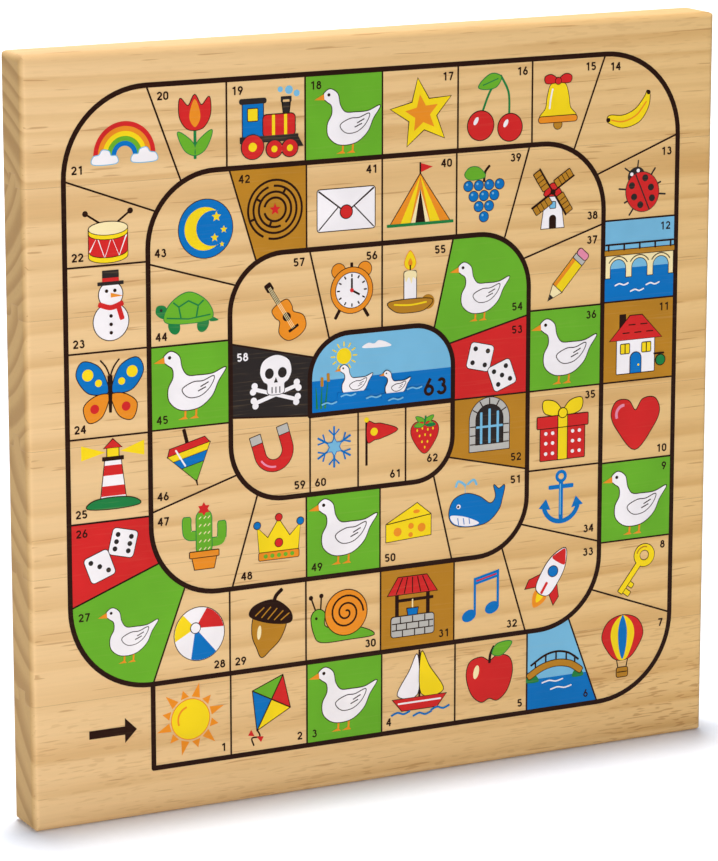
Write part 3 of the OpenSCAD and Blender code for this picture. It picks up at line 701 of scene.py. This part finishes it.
# Toys and things of the house, in the same inks.
# Plain shapes that a child can name, each with a brown outline and a few inner lines.
tips = [(0, 15), (9.6, 4), (0, -10), (-9.6, 4)]
pen(BROWN, 0.7, curve((0, -10), (2.4, -12), (-0.6, -14), (1.6, -16.4)))
film(BROWN, grown(tips, OUTLINE))
for ink, start, end in zip((RED, YELLOW, BLUE, GREEN), tips, tips[1:] + tips[:1]):
    film(ink, [start, end, (0, 4)])
pen(BROWN, 0.5, [(0, 15), (0, -10)])
pen(BROWN, 0.5, [(-9.6, 4), (9.6, 4)])
film(RED, [(1, -12.6), (4, -11.4), (4, -14)], [(0, -12.8), (-2.6, -11), (-2.8, -13.6)])
print_picture(2, "kite", turn=-28)

film(BROWN, disc(0, 8.6, 6.4), disc(0, 8.6, 2.4))
film(YELLOW, box(0.8, -14, 5.4, -11.4), box(0.8, -9.4, 4.4, -7), edge=BROWN)
film(YELLOW, box(-1.4, -15, 1.4, 3), edge=BROWN)
film(YELLOW, disc(0, 8.6, 6), disc(0, 8.6, 2.8))
pen(OCHRE, 0.7, arc(0, 8.6, 4.6, 110, 200))
print_picture(8, "key", turn=-38, size=0.96, shift=(0, 0.5))

film(YELLOW, even((0, 11), (4.6, 9.4), (6.6, 3), (7.6, -3), (11, -8), (0, -9)), edge=BROWN)
film(OCHRE, disc(0, -12, 2.4), edge=BROWN)
film(ORANGE, box(-11.8, -10.6, 11.8, -7.4, 1.5), edge=BROWN)
pen(WHITE, 0.9, curve((-3.4, 7.4), (-4.6, 2), (-5.2, -3)))
film(RED, *pair(smooth([(0, 11.4), (4, 15), (8, 14), (7, 10.6)])), edge=BROWN)
film(RED, disc(0, 11.6, 1.7), edge=BROWN)
print_picture(15, "bell", size=0.9, shift=(-2, -1.6))

rim = [(11 * x, 3.4 * y) for x, y in arc(0, 0, 1, 180, 360, 16)]
pen(BROWN, 1.1, [(-2, 7), (-12.6, 14)], [(3, 7), (12.6, 14)])
film(BROWN, *pair(disc(12.8, 14.2, 1.6)))
film(RED, [(-11, 5.6)] + moved(rim, 0, -9) + [(11, 5.6)], edge=BROWN)
pen(WHITE, 0.8, [(-10.4, -6), (-6.2, 1.6), (-2, -10), (2, 1.2), (6.2, -9), (10.4, 1.6)])
for low, high in ((-9, -6.6), (3.4, 5.8)):
    film(YELLOW, moved(rim, 0, low) + moved(rim, 0, high)[::-1], edge=BROWN)
film(CREAM, disc(0, 5.8, 11, 3.4), edge=BROWN)
print_picture(22, "drum", size=0.88, shift=(1.5, -4.2))

film(WHITE, disc(0, 0, 13), edge=BROWN)
for ink, start in ((RED, 10), (YELLOW, 130), (BLUE, 250)):
    film(ink, [(-2, 3)] + arc(0, 0, 12.9, start, start + 62))
film(WHITE, disc(-2, 3, 2.4), edge=BROWN)
print_picture(28, "beach_ball", shift=(0, 1.5))

film(BLUE, disc(0, 12.4, 3.6), disc(0, 12.4, 1.7))
pen(BLUE, 2.6, [(0, 9.6), (0, -11)])
pen(BLUE, 2.4, [(-7, 6.6), (7, 6.6)])
pen(BLUE, 2.6, arc(0, -2, 11, 198, 342))
film(BLUE, *pair([(14, -4.6), (9.4, 0.4), (6.6, -6)]))
pen(SKY, 0.6, [(-0.5, 8), (-0.5, -9)])
print_picture(34, "anchor", size=0.9, shift=(-2, 0.4))

film(YELLOW, *pair(smooth([(0, 6.6), (3.4, 12.4), (9.4, 13.4), (8.6, 8)])), edge=BROWN)
film(RED, box(-11, -13, 11, 2), edge=BROWN)
film(YELLOW, box(-2.2, -13, 2.2, 2), edge=BROWN)
film(RED, box(-12.6, 1.4, 12.6, 6.4), edge=BROWN)
film(YELLOW, box(-2.2, 1.4, 2.2, 6.4), edge=BROWN)
film(YELLOW, disc(0, 7.6, 2), edge=BROWN)
film(WHITE, *[disc(x, y, 0.8) for x in (-8.4, -5, 5, 8.4) for y in (-10, -5.4, -1)])
print_picture(35, "gift_box", size=0.97)

film(YELLOW, box(-3.2, -8, 3.2, 9), edge=BROWN)
film(ORANGE, box(-3.1, -8, -1.2, 9))
film(CREAM, [(-3.2, -8), (0, -15.4), (3.2, -8)], edge=BROWN)
film(BLACK, [(-1.2, -12.6), (0, -15.4), (1.2, -12.6)])
film(GREY, box(-3.2, 9, 3.2, 11.6), edge=BROWN)
film(ROSE, box(-3.2, 11.6, 3.2, 15, 1.2), edge=BROWN)
print_picture(37, "pencil", turn=-42)

film(BROWN, stroke([(0, 6), (0, 15)], 2), stroke([(0, -11), (0, -15)], 1.6, 0.6))
for ink, high, low in ((RED, 8, 4.4), (YELLOW, 4.4, 0.8), (BLUE, 0.8, -4), (GREEN, -4, -12)):
    wide, narrow = ((10, 12) if high == 8 else (12 * (high + 12.6) / 17, 12 * (low + 12.6) / 17))
    film(ink, [(-wide, high), (-narrow, low), (narrow, low), (wide, high)], edge=BROWN)
pen(WHITE, 0.9, [(-7, 6.4), (-4, -3)])
print_picture(46, "spinning_top", turn=14, size=0.93, shift=(0.5, 0.8))

film(YELLOW, [(-11.6, -8), (-13, 7), (-6.6, 0.6), (0, 10.6), (6.6, 0.6), (13, 7), (11.6, -8)], edge=BROWN)
film(ORANGE, box(-12, -11.6, 12, -7.4, 0.8), edge=BROWN)
film(RED, disc(0, 11.6, 1.9), disc(0, -2.6, 2.2), edge=BROWN)
film(BLUE, *pair(disc(13, 8.2, 1.9)), edge=BROWN)
film(GREEN, *[disc(x, -9.5, 1.2) for x in (-8, -4, 0, 4, 8)])
print_picture(48, "crown", size=0.88, shift=(1, 2))

film(BLUE, disc(-7.4, -9.4, 4.4, 3.2, 22))
film(BLUE, disc(6.6, -6.4, 4.4, 3.2, 22))
film(BLUE, [(-4.6, -9), (-3.2, -9), (-3.2, 10), (-4.6, 9.6)])
film(BLUE, [(9.4, -6), (10.8, -6), (10.8, 13.4), (9.4, 13)])
film(BLUE, [(-4.6, 7), (10.8, 10.4), (10.8, 14.4), (-4.6, 11)])
pen(RED, 0.8, [(-2.8, 9.4), (9, 12)])
print_picture(32, "music_note", size=0.92, shift=(-0.8, 0.6))

film(YELLOW, even((0, 15.4), (2.8, 10.6), (2.2, 7.6), (0, 6.6)), edge=ORANGE)
film(ORANGE, smooth([(0, 12), (1.2, 9.6), (0, 7.6), (-1.2, 9.6)]))
pen(BROWN, 0.7, [(0, 8.4), (0, 5)])
film(OCHRE, disc(9.6, -10, 3.6), disc(9.6, -10, 1.8))
film(WHITE, box(-3.2, -9, 3.2, 5.6, 0.8), edge=BROWN)
film(CREAM, smooth([
    (-3.2, 5), (0, 6), (3.2, 5), (3, 1.6), (1.4, 2.6), (0.6, -0.4), (-0.8, 2.8), (-2.4, 0.6)]))
film(OCHRE, smooth([(-11, -8.6), (11, -8.6), (8, -13.4), (0, -14.4), (-8, -13.4)]), edge=BROWN)
pen(YELLOW, 0.8, curve((-8.6, -10), (0, -10.8), (8.6, -10)))
print_picture(55, "candle")

pen(BROWN, 1.8, *pair([(7, -10), (9.4, -14)]))
film(ORANGE, *pair(disc(7.6, 10.6, 3.8)), edge=BROWN)
pen(BROWN, 1.6, [(0, 10), (0, 14)])
film(ORANGE, disc(0, 0, 12), edge=BROWN)
film(WHITE, disc(0, 0, 9.2), edge=BROWN)
pen(BROWN, 0.8, *[turned([(7.2, 0), (8.4, 0)], 30 * k) for k in range(12)])
pen(BROWN, 1.1, [(0, 0), (0, 6)])
pen(BROWN, 1.1, [(0, 0), (4.2, -2.4)])
film(RED, disc(0, 0, 1.1))
print_picture(56, "alarm_clock", size=0.92, shift=(-1.2, -1))

film(BROWN, box(-1.2, 2, 1.2, 13.4))
film(BROWN, box(-2, 12, 2, 16.4, 0.8))
waisted = even((0, 4.4), (4.6, 3.6), (5, -0.4), (4.2, -3.4), (7.4, -8), (5.6, -13.4), (0, -15))
film(ORANGE, waisted, edge=BROWN)
film(BROWN, disc(0, -3.4, 2.2))
film(BROWN, box(-3, -11, 3, -9.6))
pen(CREAM, 0.25, *[[(x, -10), (x * 0.8, 14)] for x in (-0.8, 0, 0.8)])
print_picture(57, "guitar", turn=32, size=0.95, shift=(0.5, -1))

magnet = [(-11, 10)] + arc(0, -1, 11, 180, 360) + [(11, 10), (5, 10)] + arc(0, -1, 5, 360, 180) + [(-5, 10)]
film(RED, magnet, edge=BROWN)
film(GREY, *pair(box(5, 5.6, 11, 10, 0.2)), edge=BROWN)
pen(ROSE, 1, arc(0, -1, 8.6, 200, 260))
print_picture(59, "magnet", turn=16, size=0.95, shift=(-0.5, 2))

film(WHITE, box(-13, -9, 13, 8, 1), edge=BROWN)
pen(BROWN, 0.5, *pair([(12.4, -8.4), (3.6, 0.6)]))
pen(BROWN, 0.7, [(-12.4, 7.4), (0, -2), (12.4, 7.4)])
film(RED, disc(0, -1.6, 2.6), edge=BROWN)
print_picture(41, "letter", shift=(0, -1.4))

film(YELLOW, [(-13, 0), (5, 9.6), (13, 3), (13, -8), (-13, -9.4)], edge=BROWN)
pen(BROWN, 0.5, [(-12.6, 0), (13, 3)])
holes = ((-6.4, -4.6, 2.3), (1.4, -2.2, 1.6), (7.6, -3.6, 2.3), (1.2, -6.8, 1.3), (4.6, 5.2, 1.9, 1))
film(ORANGE, *[disc(*hole) for hole in holes])
print_picture(50, "cheese", size=0.94, shift=(0, 1.8))

pen(BROWN, 1.3, [(-7.6, -11), (-7.6, 11)])
film(RED, smooth([(-7, 10.4), (-3, 9.4), (1, 9), (9.6, 5.4), (1, 2), (-3, 1.4), (-7, 0.6)]), edge=BROWN)
film(YELLOW, disc(-3.4, 5.4, 2))
film(YELLOW, disc(-7.6, 11.8, 1.3))
print_picture(61, "pennant", size=1.05, shift=(-1, 1))

# Sky and weather, with a heart among them.
# The same flat inks: the rays, the bows of the rainbow and the round night sky carry the colour.
rays = [turned([(9.4, -1.9), (15.6 - 2.6 * (k % 2), 0), (9.4, 1.9)], 30 * k + 15) for k in range(12)]
film(ORANGE, *rays)
film(YELLOW, disc(0, 0, 8.4), edge=ORANGE)
pen(ORANGE, 0.8, arc(0, 0, 5.6, 110, 200))
print_picture(1, "sun")

film(RED, even((0, 5), (3.6, 9.6), (9.4, 9.6), (11.8, 4), (8.6, -3), (0, -12)), edge=BROWN)
pen(ROSE, 1.3, arc(-5.6, 4, 3.8, 95, 200))
print_picture(10, "heart")

film(YELLOW, star(0, -0.6, 14.6), edge=BROWN)
film(ORANGE, star(0, -0.6, 8))
print_picture(17, "star", turn=8)

for ink, r in ((RED, 15), (ORANGE, 12.8), (YELLOW, 10.6), (GREEN, 8.4), (BLUE, 6.2)):
    film(ink, arc(0, -6.6, r, 0, 180, 36) + arc(0, -6.6, r - 2.2, 180, 0, 36))
cloud = smooth([(-5.4, -2), (-5.4, 1.2), (-2.6, 2), (-1, 4), (2, 3.4), (3, 1.4), (5.6, 1), (5.4, -2)])
film(WHITE, moved(cloud, -9.6, -8), moved(mirrored(cloud), 9.6, -8), edge=SKY)
print_picture(21, "rainbow", shift=(3.5, 3))

film(BLUE, disc(0, 0, 14), edge=BROWN)
film(YELLOW, arc(-0.6, 0, 10.4, 50, 310, 36) + arc(3.6, 0, 8.5, 290, 70, 36))
film(YELLOW, star(5.6, 5.4, 2.6), star(9.4, -1, 1.9), star(4.6, -4.6, 2.2), star(8.4, -8, 1.4))
print_picture(43, "moon_and_stars", size=0.95, shift=(2.4, 0))

for k in range(6):
    pen(BLUE, 1.1, turned([(0, 0), (0, 10.6)], 60 * k))
    pen(BLUE, 0.9, turned([(-2.8, 9), (0, 6), (2.8, 9)], 60 * k))
film(SKY, star(0, 0, 4.4, 6, 0.6), edge=BLUE)
print_picture(60, "snowflake", shift=(0, 1))

film(WHITE, disc(0, -6.6, 8), edge=BROWN)
film(WHITE, disc(0, 5, 5.4), edge=BROWN)
film(BLACK, box(-6, 9, 6, 10.6))
film(BLACK, box(-3.8, 10.2, 3.8, 15.4))
film(RED, box(-3.8, 10.6, 3.8, 12.2, 0.1))
pen(RED, 2.2, [(3.4, 0), (5, -5.4)])
pen(RED, 2.2, curve((-5, 0.9), (0, -0.6), (5, 0.9)))
film(BROWN, *[disc(x, y, 0.75) for x, y in ((-1.9, 6.6), (1.9, 6.6), (0, -4.2), (0, -7.8), (0, -11.4))])
film(ORANGE, [(0, 5.7), (0, 3.7), (5.6, 4.1)])
print_picture(23, "snowman", size=0.94, shift=(1, 0))

# Creatures.
# Round bodies in one or two colours, printed over the legs and fins that come out from below them.
legs = [[(-8, y), (-12.4, y + slant)] for y, slant in ((4, 2.6), (-2, 0), (-7, -2.6))]
pen(BLACK, 1, *legs, *[mirrored(leg) for leg in legs])
pen(BLACK, 0.8, *pair([(2, 11), (4.6, 15.4)]))
film(BLACK, disc(0, 8.4, 5.4, 4.6))
film(RED, disc(0, -1.6, 10.2, 11), edge=BLACK)
pen(BLACK, 0.8, [(0, 9), (0, -12.4)])
film(BLACK, *[disc(way * x, y, 1.9) for way in (-1, 1) for x, y in ((4.6, 4.6), (5.8, -1.8), (4, -7.6))])
film(WHITE, *pair(disc(2.2, 10.4, 1)))
print_picture(13, "ladybird", turn=24, size=0.9, shift=(0, -1.8))

wing = smooth([(0.8, 1), (4.4, 10), (11.6, 13), (14.4, 7.6), (10, 0.8), (4, -0.6)])
hind = smooth([(0.8, -1), (6.4, -1.4), (11.4, -5.4), (9.4, -11.6), (4, -10), (1, -4)])
film(BLUE, *pair(wing), edge=BROWN)
film(ORANGE, *pair(hind), edge=BROWN)
film(YELLOW, *[disc(way * x, y, r) for way in (-1, 1) for x, y, r in ((9.6, 7.6, 2.4), (5, 4, 1.5))])
film(RED, *pair(disc(6.8, -6.4, 1.9)))
film(BROWN, stroke([(0, 6), (0, -8)], 2.2, 1.2))
pen(BROWN, 0.6, *pair(curve((0, 6), (1.6, 10), (4, 13))))
print_picture(24, "butterfly")

pen(BROWN, 0.7, [(-11.4, 1), (-13.6, 7)], [(-9.4, 1), (-9, 7.4)])
film(BROWN, disc(-13.8, 7.4, 1), disc(-9, 7.8, 1))
film(GREEN, smooth([
    (-13.6, -1), (-11, 2), (-7.6, 0.4), (-6.6, -6), (8, -7.6), (15.4, -11.6), (4, -12.2), (-9, -12),
    (-12.4, -8)]), edge=BROWN)
film(ORANGE, disc(2.4, -0.6, 9.6), edge=BROWN)
spiral = [turned([(8 - 7.2 * k / 54, 0)], 15 * k)[0] for k in range(55)]
pen(BROWN, 0.8, moved(spiral, 2.4, -0.6))
film(BROWN, disc(-11.4, -1.6, 0.6))
print_picture(30, "snail", shift=(-0.5, 1.6))

film(LEAF, *pair(disc(7.4, -6.6, 3, 4, -20)))
film(LEAF, smooth([(11, -3), (15.4, -5.4), (11, -5.6)]))
film(LEAF, smooth([(-10, -1), (-12, 3.4), (-16, 3.6), (-16.6, 0), (-13, -2.6)]))
film(GREEN, even((0, 9), (9.4, 4), (12, -4), (0, -5.6)), edge=LEAF)
pen(LEAF, 0.7, [(-11, -2.4), (0, -3.6), (11, -2.4)])
pen(LEAF, 0.8, *pair([(4, -2.6), (5, 2.4), (7.6, 4.6)]))
pen(LEAF, 0.8, [(-5, 2.4), (0, 5), (5, 2.4)])
film(BLACK, disc(-14, 1.6, 0.7))
print_picture(44, "turtle")

pen(
    SKY, 1.2, curve((-5, 6), (-5.4, 10), (-9, 12.4), (-10.4, 10)),
    curve((-4.6, 6), (-4.4, 10), (-1, 12.4), (0.6, 10)))
film(BLUE, smooth([
    (-14, -3), (-11.6, 3.6), (-5, 6), (2, 4), (8, 0), (11, 3), (10, 8.6), (12.6, 6.6), (15.6, 8),
    (14.6, 2.6), (12.4, -3.6), (6, -9), (-4, -10), (-11.6, -8)]), edge=BROWN)
film(WHITE, smooth([(-13.4, -4), (-8, -4.4), (-2, -6.4), (2, -9), (-4, -9.8), (-11, -8)]))
film(WHITE, disc(-9, 0.2, 1.1))
film(BLACK, disc(-9.2, 0.1, 0.6))
pen(BLUE, 0.4, *[[(x, -5.4 - 0.3 * k), (x + 0.4, -8.6)] for k, x in enumerate((-9.4, -6.4, -3.4))])
print_picture(51, "whale", shift=(-1.6, -1))

# Buildings and things that go.
# Straight-sided shapes, drawn back to front.
pen(BROWN, 1, [(0, -8), (0, 15)])
film(WHITE, smooth([(-1, 13), (-5, 6), (-11, -4.6), (-1, -5)]), edge=BROWN)
film(YELLOW, smooth([(1, 14), (5, 7), (12, -4.6), (1, -5)]), edge=BROWN)
film(RED, [(-13.4, -6.6), (13.4, -6.6), (8.8, -12), (-8.8, -12)], edge=BROWN)
pen(WHITE, 0.8, [(-10.6, -8.6), (10.6, -8.6)])
film(BLUE, *[ripple(x, y, 3, 1, 0.9) for x, y in ((-14, -13.6), (-3, -15), (6, -13.4))])
print_picture(4, "sailing_boat", size=0.94, shift=(1.6, 1.8))

pen(BROWN, 0.6, *[[(x, -6), (0.7 * x, -11)] for x in (-3.2, 3.2)])
film(RED, even((0, 15.4), (8, 12.8), (11.4, 5.6), (8.2, -1.6), (3.4, -6.4)), edge=BROWN)
film(YELLOW, even((0, 15.4), (5, 11.6), (6.6, 5.6), (4.8, -1.6), (2, -6.6)))
film(BLUE, even((0, 15.4), (1.9, 11), (2.5, 5.6), (1.8, -1.6), (0, -6.6)))
film(OCHRE, box(-3, -15.4, 3, -10.8, 0.9), edge=BROWN)
pen(BROWN, 0.5, [(-2.6, -13), (2.6, -13)])
print_picture(7, "hot_air_balloon")

pen(BROWN, 0.8, [(0, 8), (0, 15.4)])
film(RED, [(0.4, 15.2), (6, 13.4), (0.4, 11.4)])
film(ORANGE, [(-14, -10), (0, 10.6), (14, -10)], edge=BROWN)
film(YELLOW, *pair([(9.4, -10), (0, 10), (4.8, -10)]))
film(BROWN, [(-4.4, -10), (0, 4.4), (4.4, -10)])
film(CREAM, *pair([(4.4, -10), (0, 4.4), (2.4, -10)]))
pen(LEAF, 1.3, [(-15.4, -10.6), (15.4, -10.6)])
print_picture(40, "tent", size=0.97, shift=(-0.6, 0))

film(YELLOW, *pair([(3.4, 10.2), (14.6, 14), (14.6, 7.4)]))
film(WHITE, [(-6, -12), (-3.6, 7), (3.6, 7), (6, -12)], edge=BROWN)
bands = [[(6 - (y + 12) / 7.9, y), (6 - (y + 16.4) / 7.9, y + 4.4)] for y in (-9, 0)]
film(RED, *[band + mirrored(band)[::-1] for band in bands])
film(YELLOW, box(-2.6, 8, 2.6, 12), edge=BROWN)
film(RED, [(-4, 12), (0, 15.6), (4, 12)], edge=BROWN)
film(BROWN, box(-5, 6.4, 5, 8.2))
film(LEAF, smooth([(-12, -13.6), (-9, -10.6), (0, -9.8), (9, -10.8), (12, -13.6), (0, -14.6)]), edge=BROWN)
print_picture(25, "lighthouse", size=0.94, shift=(1, 0.8))

film(ORANGE, even((0, -16.4), (3.4, -12), (3, -8)))
film(YELLOW, even((0, -13.6), (1.6, -11), (1.6, -8)))
film(RED, *pair([(4.6, 0), (9.4, -6), (9, -10.4), (3.6, -6.6)]), edge=BROWN)
film(WHITE, even((0, 16), (4.2, 9.4), (5.2, 1), (3.6, -8)), edge=BROWN)
film(RED, even((0, 15.8), (2.4, 12.6), (4, 9), (0, 8.4)))
film(BLUE, disc(0, 3.4, 2.5), edge=BROWN)
pen(RED, 1.3, [(0, -8.4), (0, -3)])
print_picture(33, "rocket", turn=-32, shift=(-1, -1))

film(WHITE, [(-6.4, -14), (-4, 3), (4, 3), (6.4, -14)], edge=BROWN)
film(BROWN, arch(0, -9.4, 2, -14))
film(SKY, box(-1.5, -4, 1.5, -1), edge=BROWN)
film(RED, smooth([(-5, 3), (0, 8.4), (5, 3), (0, 2)]), edge=BROWN)
sails = [32 + 90 * k for k in range(4)]
for angle in sails:
    film(BROWN, moved(stroke(turned([(0, 0), (14, 0)], angle), 0.8), 0, 4))
film(OCHRE, *[moved(turned(box(3.4, 0.6, 13.6, 4.4), angle), 0, 4) for angle in sails], edge=BROWN)
laths = [turned([(x, 0.6), (x, 4.4)], angle) for angle in sails for x in (6, 8.5, 11)]
pen(BROWN, 0.4, *[moved(lath, 0, 4) for lath in laths])
film(BROWN, disc(0, 4, 1.4))
print_picture(38, "windmill", size=0.95, shift=(-1.5, -0.5))

film(SKY, disc(9.4, 15, 1.8), disc(13, 13.4, 1.4), disc(5.4, 15.4, 1.2))
film(BLACK, box(6.6, 4, 9.6, 11), box(5.6, 10, 10.6, 12.4))
film(BLUE, box(-12, -4, -2.6, 10.6), edge=BROWN)
film(YELLOW, box(-9.6, 3, -5.2, 8), edge=BROWN)
film(BLACK, box(-13.6, 10, -1, 12.4, 1))
film(RED, box(-2.6, -4, 12, 5, 1.6), edge=BROWN)
film(YELLOW, box(1.4, -4, 2.8, 5), box(7, -4, 8.4, 5))
film(BLACK, box(-13.4, -6.4, 13.6, -3.6))
film(BLACK, [(13, -3.6), (16, -9), (11, -9)])
film(RED, disc(-7.6, -8, 5), edge=BLACK)
film(RED, disc(2.4, -9.4, 3.6), disc(9.6, -9.4, 3.6), edge=BLACK)
film(YELLOW, disc(-7.6, -8, 1.9), disc(2.4, -9.4, 1.4), disc(9.6, -9.4, 1.4))
print_picture(19, "locomotive", size=0.96, shift=(0.5, -1.8))

# The ludo side's print: four yards, a cross of cells and a home square, in the same inks on the other face.
# The lines are printed last and close the edges of the four colours.
finish("ludo_lines", BROWN)
finish("ludo_red", RED)
finish("ludo_green", GREEN)
finish("ludo_yellow", YELLOW)
finish("ludo_blue", BLUE)

# The studio: a wide table of white paper with nothing behind it, a lamp high above and a little behind,
# a small one at the front left, and a broad one over the table behind the board, which fades it to white.
# The camera stands a little left of the board and above it, with a long lens.
FLOOR = 12
bpy.ops.mesh.primitive_plane_add(size=FLOOR)
floor = bpy.context.object
floor.name = "floor"


# White paper: a matt, faintly cool white with a tooth too fine to see, on which the shadow falls softly
def white_paper():
    paper, tree, place = new_material("white_paper")
    tooth = noise(tree, place, (300, 300, 300), 2)
    colour = blend(tree, tooth, linear("#F1F3F7"), linear("#F6F8FC"))
    surface(tree, {"Base Color": colour, "Roughness": 0.9})
    return paper


floor.data.materials.append(white_paper())

DAYLIGHT = 0.34
world = bpy.data.worlds.new("studio")
world.use_nodes = True
sky = world.node_tree
plug(sky, sky.nodes["Background"], {"Color": linear("#DCE8FF"), "Strength": DAYLIGHT})
bpy.context.scene.world = world
bpy.context.scene.view_settings.view_transform = "Standard"


def lamp(name, place, aim, size, watts):
    bpy.ops.object.light_add(type="AREA", location=place)
    light = bpy.context.object
    light.name = name
    light.data.shape = "DISK"
    light.data.size = size
    light.data.energy = watts
    towards = [a - b for a, b in zip(aim, place)]
    flat = math.hypot(towards[0], towards[1])
    light.rotation_euler = (math.atan2(flat, -towards[2]), 0, math.atan2(-towards[0], towards[1]))


lamp("top_lamp", (0.0, 0.19, 4.2), (0, 0, 0), 0.5, 145)
lamp("front_lamp", (-1.0, -1.3, 0.4), (-0.1, 0, 0.1), 0.8, 11.5)
lamp("backdrop_lamp", (0.8, 2.6, 2.2), (0.8, 2.9, 0), 2.4, 75)

SENSOR = 36
LENS = 166.6
AIM = (-5.0 * MM, 0, 141.8 * MM)
AZIMUTH = math.radians(-26.95)
ELEVATION = math.radians(12.77)
DISTANCE = 1.572
bpy.ops.object.camera_add(
    location=(
        AIM[0] + DISTANCE * math.sin(AZIMUTH) * math.cos(ELEVATION),
        AIM[1] - DISTANCE * math.cos(AZIMUTH) * math.cos(ELEVATION),
        AIM[2] + DISTANCE * math.sin(ELEVATION),
    ),
    rotation=(math.pi / 2 - ELEVATION, 0, AZIMUTH),
)
camera = bpy.context.object
camera.data.sensor_width = SENSOR
camera.data.sensor_fit = "AUTO"
camera.data.lens = LENS
bpy.context.scene.camera = camera
